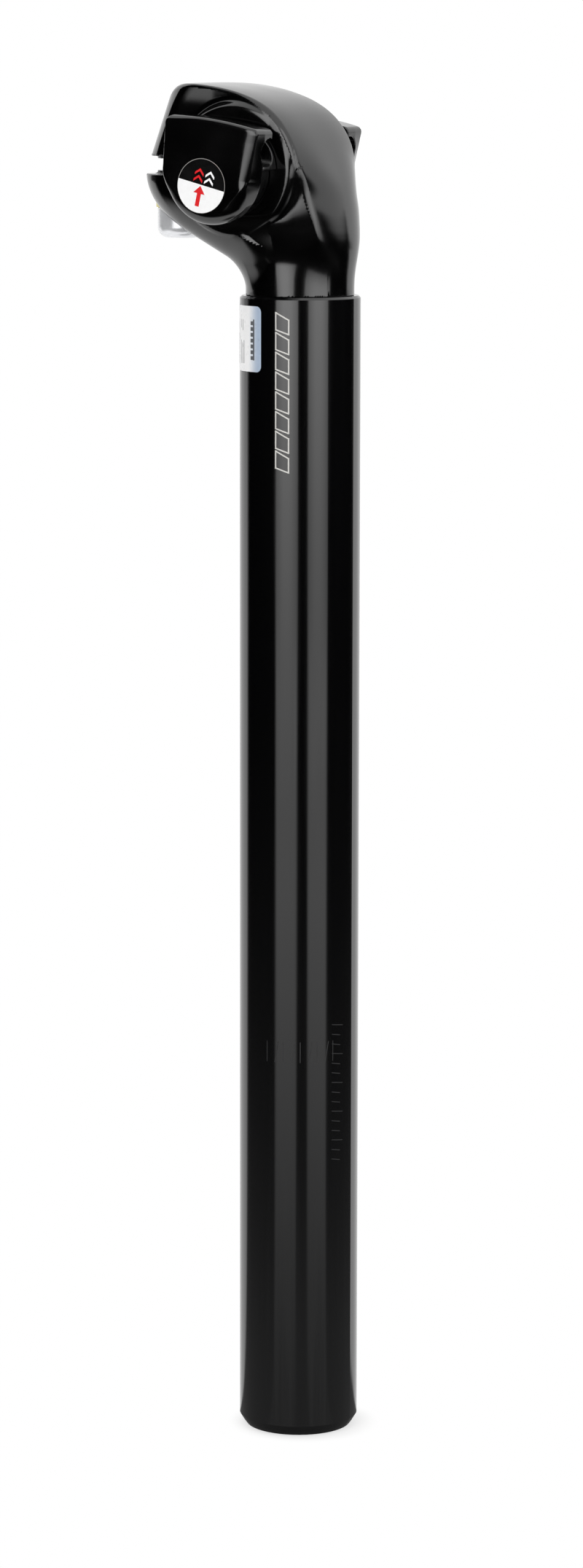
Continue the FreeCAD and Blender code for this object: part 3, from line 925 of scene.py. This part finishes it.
def make_screw(steel, zinc):
    """Screw and washer under the head's rear jaw."""
    low = (SCREW_X - 7.2, -7.2, SCREW_HEAD_LOW - 0.5)
    high = (SCREW_X + 7.2, 7.2, SCREW_TIP + 0.5)
    piece = skin_over("screw_skin", screw_form, low, high, 0.25)
    piece.data.materials.append(steel)
    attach(piece, "bolt")
    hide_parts("clamp_bolt")
    low = (SCREW_X - 7.4, -7.4, SCREW_HEAD_HIGH - 0.4)
    high = (SCREW_X + 7.4, 7.4, SEAT_Z + 0.4)
    piece = skin_over("washer_skin", washer_form, low, high, 0.2)
    piece.data.materials.append(zinc)
    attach(piece, "washer_carriage")
    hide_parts("bolt_washer")


# Printed shapes: flat outlines laid on the tube or on a plate

SLICE = 0.4


def on_tube(across, height, lift):
    """A point on the tube: across is the way round it from -Y, in millimetres."""
    turn = across / TUBE_RADIUS
    reach = TUBE_RADIUS + lift
    return (reach * math.sin(turn), -reach * math.cos(turn), height)


def slices(outline, width):
    """A four-cornered outline cut into narrow ones, from its first two corners' line on."""
    a, b, c, d = [Vector(corner) for corner in outline]
    count = max(1, math.ceil(max(abs(b.x - a.x), abs(c.x - d.x)) / width))
    for i in range(count):
        start = i / count
        end = (i + 1) / count
        yield [tuple(p) for p in (a.lerp(b, start), a.lerp(b, end), d.lerp(c, end), d.lerp(c, start))]


def printed_mesh(name, shapes, place, finishes, turned=False):
    """Flat printed shapes: each has a finish, its lift and its outline."""
    points = []
    faces = []
    inks = []
    if place is on_tube:
        shapes = [(ink, lift, part) for ink, lift, outline in shapes for part in slices(outline, SLICE)]
    for ink, lift, outline in shapes:
        start = len(points)
        points += [Vector(place(*corner, lift)) * MM for corner in outline]
        face = list(range(start, len(points)))
        faces.append(face[::-1] if turned else face)
        inks.append(ink)
    mesh = bpy.data.meshes.new(name)
    mesh.from_pydata(points, [], faces)
    for finish in finishes:
        mesh.materials.append(finish)
    mesh.polygons.foreach_set("material_index", inks)
    return mesh


def stroke(start, end, width):
    """Outline of a straight stroke with square ends."""
    a = Vector(start)
    b = Vector(end)
    along = (b - a).normalized() * width / 2
    across = Vector((-along.y, along.x))
    a = a - along
    b = b + along
    return [tuple(p) for p in (a - across, b - across, b + across, a + across)]


def outlined(corners, width):
    """Strokes along a closed outline."""
    return [stroke(a, b, width) for a, b in zip(corners, corners[1:] + corners[:1])]


def turned_by(angle, points, middle=(0, 0)):
    """Flat points turned about the origin and moved."""
    c = math.cos(angle)
    s = math.sin(angle)
    return [(x * c - y * s + middle[0], x * s + y * c + middle[1]) for x, y in points]


STICKER_RADIUS = 7.0
STICKER_RIM = 6.82
STICKER_WHITE = 6.9
STICKER_SPLIT = 0.25
STICKER_PLACE = (-1.5, -3.7)
STICKER_TURN = math.radians(-6.0)
ARROW_TAIL = (-0.02, -5.35)
ARROW_TIP = (-0.17, -0.05)
ARROW_HEAD = 2.0
ARROW_HEAD_HALF = 1.7
ARROW_HALF = 0.6
CHEVRON_HALF = 1.3
BLACK, WHITE, RED, GREY = range(4)


def sticker_shapes():
    """Round sticker: dark above, white below, with an arrow up and two pairs of chevrons."""
    disc = [(x * STICKER_RADIUS, y * STICKER_RADIUS) for x, y in circle(96)]
    rim = [(x * STICKER_RIM, y * STICKER_RIM) for x, y in circle(96)]
    shapes = [(BLACK, 0.13, disc)]
    for i in range(len(disc)):
        after = (i + 1) % len(disc)
        shapes.append((GREY, 0.135, [rim[i], disc[i], disc[after], rim[after]]))
    start = math.asin(STICKER_SPLIT / STICKER_WHITE)
    turns = [math.pi - start + (math.pi + 2 * start) * i / 60 for i in range(61)]
    white = [(STICKER_WHITE * math.cos(turn), STICKER_WHITE * math.sin(turn)) for turn in turns]
    shapes.append((WHITE, 0.14, white))
    tail = Vector(ARROW_TAIL)
    tip = Vector(ARROW_TIP)
    along = (tip - tail).normalized()
    across = Vector((along.y, -along.x))
    neck = tip - along * ARROW_HEAD
    wide = across * ARROW_HEAD_HALF
    thin = across * ARROW_HALF
    shapes.append((RED, 0.15, [tuple(p) for p in (neck - wide, neck + wide, tip)]))
    shapes.append((RED, 0.15, [tuple(p) for p in (tail - thin, tail + thin, neck + thin, neck - thin)]))
    for ink, middle in ((RED, -1.25), (WHITE, 1.95)):
        for rise in (1.2, 2.9):
            for end in (middle - CHEVRON_HALF, middle + CHEVRON_HALF):
                arm = [(middle, rise + 1.4), (middle, rise + 0.7), (end, rise - 0.5), (end, rise + 0.2)]
                shapes.append((ink, 0.14, arm if end < middle else arm[::-1]))
    return [(ink, lift, turned_by(STICKER_TURN, outline, STICKER_PLACE))
            for ink, lift, outline in shapes]


def make_stickers(inks):
    """Sticker on each plate."""
    c = math.cos(CLAMP_TILT)
    s = math.sin(CLAMP_TILT)
    for hand, way in (("right", -1), ("left", 1)):
        def place(x, z, lift):
            return (BORE_X + x * c + z * s, way * (PLATE_OUTER + lift), BORE_Z - x * s + z * c)

        name = "sticker_" + hand
        piece = as_piece(name, printed_mesh(name, sticker_shapes(), place, inks, way > 0))
        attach(piece, hand + "_clamp")
        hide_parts("orientation_label_" + hand)


LABEL_RIGHT = -math.radians(11.3) * TUBE_RADIUS
LABEL_WIDTH = 22.0
LABEL_LOW = 284.0
LABEL_HIGH = 301.0
LABEL_CORNER = 1.6
FOIL_LIFT = 0.05
FOIL_INK_LIFT = 0.056
FOIL, FOIL_INK = range(2)
LABEL_BARS = (
    # across from the label's right edge, half width, low end, high end
    (-2.7, 0.26, 287.0, 297.6),
    (-7.5, 0.16, 286.0, 292.0),
    (-8.5, 0.16, 286.0, 291.4),
    (-9.6, 0.16, 286.0, 292.0),
    (-8.2, 0.14, 294.6, 297.4),
    (-9.4, 0.14, 295.2, 297.4),
    (-12.0, 0.2, 285.8, 297.4),
    (-13.2, 0.2, 285.8, 294.0),
    (-18.0, 1.0, 286.4, 298.4),
)


def make_label(foil, ink):
    """Foil label below the rim, printed with plain bars."""
    shapes = []
    count = 72
    left = LABEL_RIGHT - LABEL_WIDTH

    def inset(across):
        near = min(across - left, LABEL_RIGHT - across)
        if near >= LABEL_CORNER:
            return 0.0
        return LABEL_CORNER - math.sqrt(max(0.0, LABEL_CORNER ** 2 - (LABEL_CORNER - near) ** 2))

    steps = [left + LABEL_WIDTH * (1 - math.cos(math.pi * i / count)) / 2 for i in range(count + 1)]
    for a, b in zip(steps, steps[1:]):
        cut_a = inset(a)
        cut_b = inset(b)
        shapes.append((FOIL, FOIL_LIFT, [(a, LABEL_LOW + cut_a), (b, LABEL_LOW + cut_b),
                                         (b, LABEL_HIGH - cut_b), (a, LABEL_HIGH - cut_a)]))
    blocks = tuple((-3.5, 0.5, 287.1 + 1.5 * i, 288.1 + 1.5 * i) for i in range(7))
    for across, half, low, high in LABEL_BARS + blocks:
        start = LABEL_RIGHT + across - half
        end = LABEL_RIGHT + across + half
        shapes.append((FOIL_INK, FOIL_INK_LIFT, [(start, low), (end, low), (end, high), (start, high)]))
    piece = as_piece("foil_label", printed_mesh("foil_label", shapes, on_tube, [foil, ink]))
    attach(piece, "post")
    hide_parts("tube_label")


# Marks that repeat: Geometry Nodes copy one mark down the tube or round it

BAR_COUNT = 8
BAR_DROP = 5.1
BAR_MIDDLE = math.radians(11.3) * TUBE_RADIUS
BAR_HALF = 1.75
BAR_HIGH = 299.6
BAR_STROKE = 0.36
BAR_LIFT = 0.012
ETCHED_STROKE = 0.22
ETCHED_LIFT = 0.006
RING_START = -1.0
RING_STEP = 2.3
RING_LOW = 102.3
RING_HIGH = 107.6
RING_LEAN = 0.9
SCALE_START = 17.2
SCALE_HIGH = 112.0
SCALE_DROP = 2.6
SCALE_LONG = 3.6
SCALE_SHORT = 2.6


def row_nodes():
    """Node tree that copies a mark, each copy a drop below and a turn round the tube from the last."""
    tree = bpy.data.node_groups.new("row_of_marks", "GeometryNodeTree")
    kinds = {"Mark": "Geometry", "Count": "Int", "Drop": "Float", "Turn": "Float", "Finish": "Material"}
    for name, kind in kinds.items():
        tree.interface.new_socket(name, in_out="INPUT", socket_type="NodeSocket" + kind)
    tree.interface.new_socket("Row", in_out="OUTPUT", socket_type="NodeSocketGeometry")
    given = tree.nodes.new("NodeGroupInput").outputs
    result = tree.nodes.new("NodeGroupOutput").inputs
    line = tree.nodes.new("GeometryNodeMeshLine")
    step = tree.nodes.new("ShaderNodeCombineXYZ")
    spin = tree.nodes.new("ShaderNodeCombineXYZ")
    rotation = tree.nodes.new("FunctionNodeEulerToRotation")
    copies = tree.nodes.new("GeometryNodeInstanceOnPoints")
    whole = tree.nodes.new("GeometryNodeRealizeInstances")
    finished = tree.nodes.new("GeometryNodeSetMaterial")
    index = tree.nodes.new("GeometryNodeInputIndex").outputs["Index"]
    link(tree, maths(tree, "MULTIPLY", given["Drop"], -1.0), step.inputs["Z"])
    link(tree, maths(tree, "MULTIPLY", index, given["Turn"]), spin.inputs["Z"])
    link(tree, given["Count"], line.inputs["Count"])
    link(tree, step.outputs["Vector"], line.inputs["Offset"])
    link(tree, spin.outputs["Vector"], rotation.inputs["Euler"])
    link(tree, line.outputs["Mesh"], copies.inputs["Points"])
    link(tree, given["Mark"], copies.inputs["Instance"])
    link(tree, rotation.outputs["Rotation"], copies.inputs["Rotation"])
    link(tree, copies.outputs["Instances"], whole.inputs["Geometry"])
    link(tree, whole.outputs["Geometry"], finished.inputs["Geometry"])
    link(tree, given["Finish"], finished.inputs["Material"])
    link(tree, finished.outputs["Geometry"], result["Row"])
    return tree


def row_of(tree, strokes, lift, finish, count, drop=0.0, turn=0.0):
    """Plain mesh of a mark's strokes, copied with a drop in millimetres and a turn in radians."""
    shapes = [(0, lift, outline) for outline in strokes]
    holder = as_piece("mark", printed_mesh("mark", shapes, on_tube, []))
    row = holder.modifiers.new("row_of_marks", "NODES")
    row.node_group = tree
    sizes = {"Count": count, "Drop": drop * MM, "Turn": turn, "Finish": finish}
    for socket in tree.interface.items_tree:
        if socket.name in sizes:
            row[socket.identifier] = sizes[socket.name]
    mesh = bpy.data.meshes.new_from_object(holder.evaluated_get(bpy.context.evaluated_depsgraph_get()))
    holder.modifiers.clear()
    bpy.data.objects.remove(holder)
    return mesh


def joined(name, meshes, finish):
    """One mesh of several, in one finish."""
    form = bmesh.new()
    for mesh in meshes:
        form.from_mesh(mesh)
    whole = bpy.data.meshes.new(name)
    form.to_mesh(whole)
    form.free()
    whole.materials.append(finish)
    return whole


def make_bars(tree, ink):
    """Outlined slanted bars down the tube."""
    left = BAR_MIDDLE - BAR_HALF
    right = BAR_MIDDLE + BAR_HALF
    corners = [(left, BAR_HIGH - 4.4), (right, BAR_HIGH - 5.6),
               (right, BAR_HIGH - 1.9), (left, BAR_HIGH)]
    row = row_of(tree, outlined(corners, BAR_STROKE), BAR_LIFT, ink, BAR_COUNT, drop=BAR_DROP)
    piece = as_piece("printed_bars", joined("printed_bars", [row], ink))
    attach(piece, "post")


def make_etched_marks(tree, etched):
    """Plain etched marks low on the tube: a ring of upright and leaning ones, and a scale beside it."""
    rows = []
    for count, start, lean in ((5, RING_START, 0.0), (4, RING_START + RING_STEP, RING_LEAN)):
        mark = stroke((start, RING_LOW), (start + lean, RING_HIGH), ETCHED_STROKE)
        rows.append(row_of(tree, [mark], ETCHED_LIFT, etched, count, turn=2 * RING_STEP / TUBE_RADIUS))
    for place, length in enumerate((SCALE_LONG, SCALE_SHORT, SCALE_SHORT)):
        height = SCALE_HIGH - place * SCALE_DROP
        mark = stroke((SCALE_START, height), (SCALE_START + length, height - 0.5), ETCHED_STROKE)
        rows.append(row_of(tree, [mark], ETCHED_LIFT, etched, 5, drop=3 * SCALE_DROP))
    piece = as_piece("etched_marks", joined("etched_marks", rows, etched))
    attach(piece, "post")


# The studio, the finishes and the pieces

aim_camera()
lay_floor()
light_world()
light_studio()

paint = painted_black()
tube_finish = anodised_black("anodised_tube", 0.10, 0.14)
jaw_finish = anodised_black("anodised_jaw", 0.25, 0.35)
steel = plain_metal("polished_steel", (0.86, 0.87, 0.89), 0.45, 0.16, 0.26, 300.0)
zinc = plain_metal("yellow_zinc_plate", (0.80, 0.72, 0.25), 0.4, 0.26, 0.36, 300.0)
# Foil and ink take a painted sheen, their last colour, towards the tube's edges
foil = print_finish("label_foil", (0.42, 0.51, 0.64), 0.25, 0.33, (1.0, 1.0, 1.0))
foil_ink = print_finish("label_ink", (0.03, 0.035, 0.045), 0.35, 0.45, (0.16, 0.165, 0.17))
sticker_inks = [
    print_finish("sticker_black", (0.003, 0.003, 0.003), 0.18, 0.26),
    print_finish("sticker_white", (0.96, 0.96, 0.96), 0.3, 0.4),
    print_finish("sticker_red", (0.75, 0.008, 0.012), 0.3, 0.4),
    print_finish("sticker_grey", (0.25, 0.24, 0.23), 0.3, 0.4),
]
bar_ink = print_finish("bar_ink", (0.60, 0.59, 0.56), 0.35, 0.45)
etched = print_finish("etched_grey", (0.012, 0.012, 0.013), 0.5, 0.6)
dress("post_tube", tube_finish)
make_head(paint)
make_screw(steel, zinc)
make_clamp(paint, jaw_finish)
make_stickers(sticker_inks)
make_label(foil, foil_ink)
row_tree = row_nodes()
make_bars(row_tree, bar_ink)
make_etched_marks(row_tree, etched)

bpy.context.scene.view_settings.view_transform = "Standard"
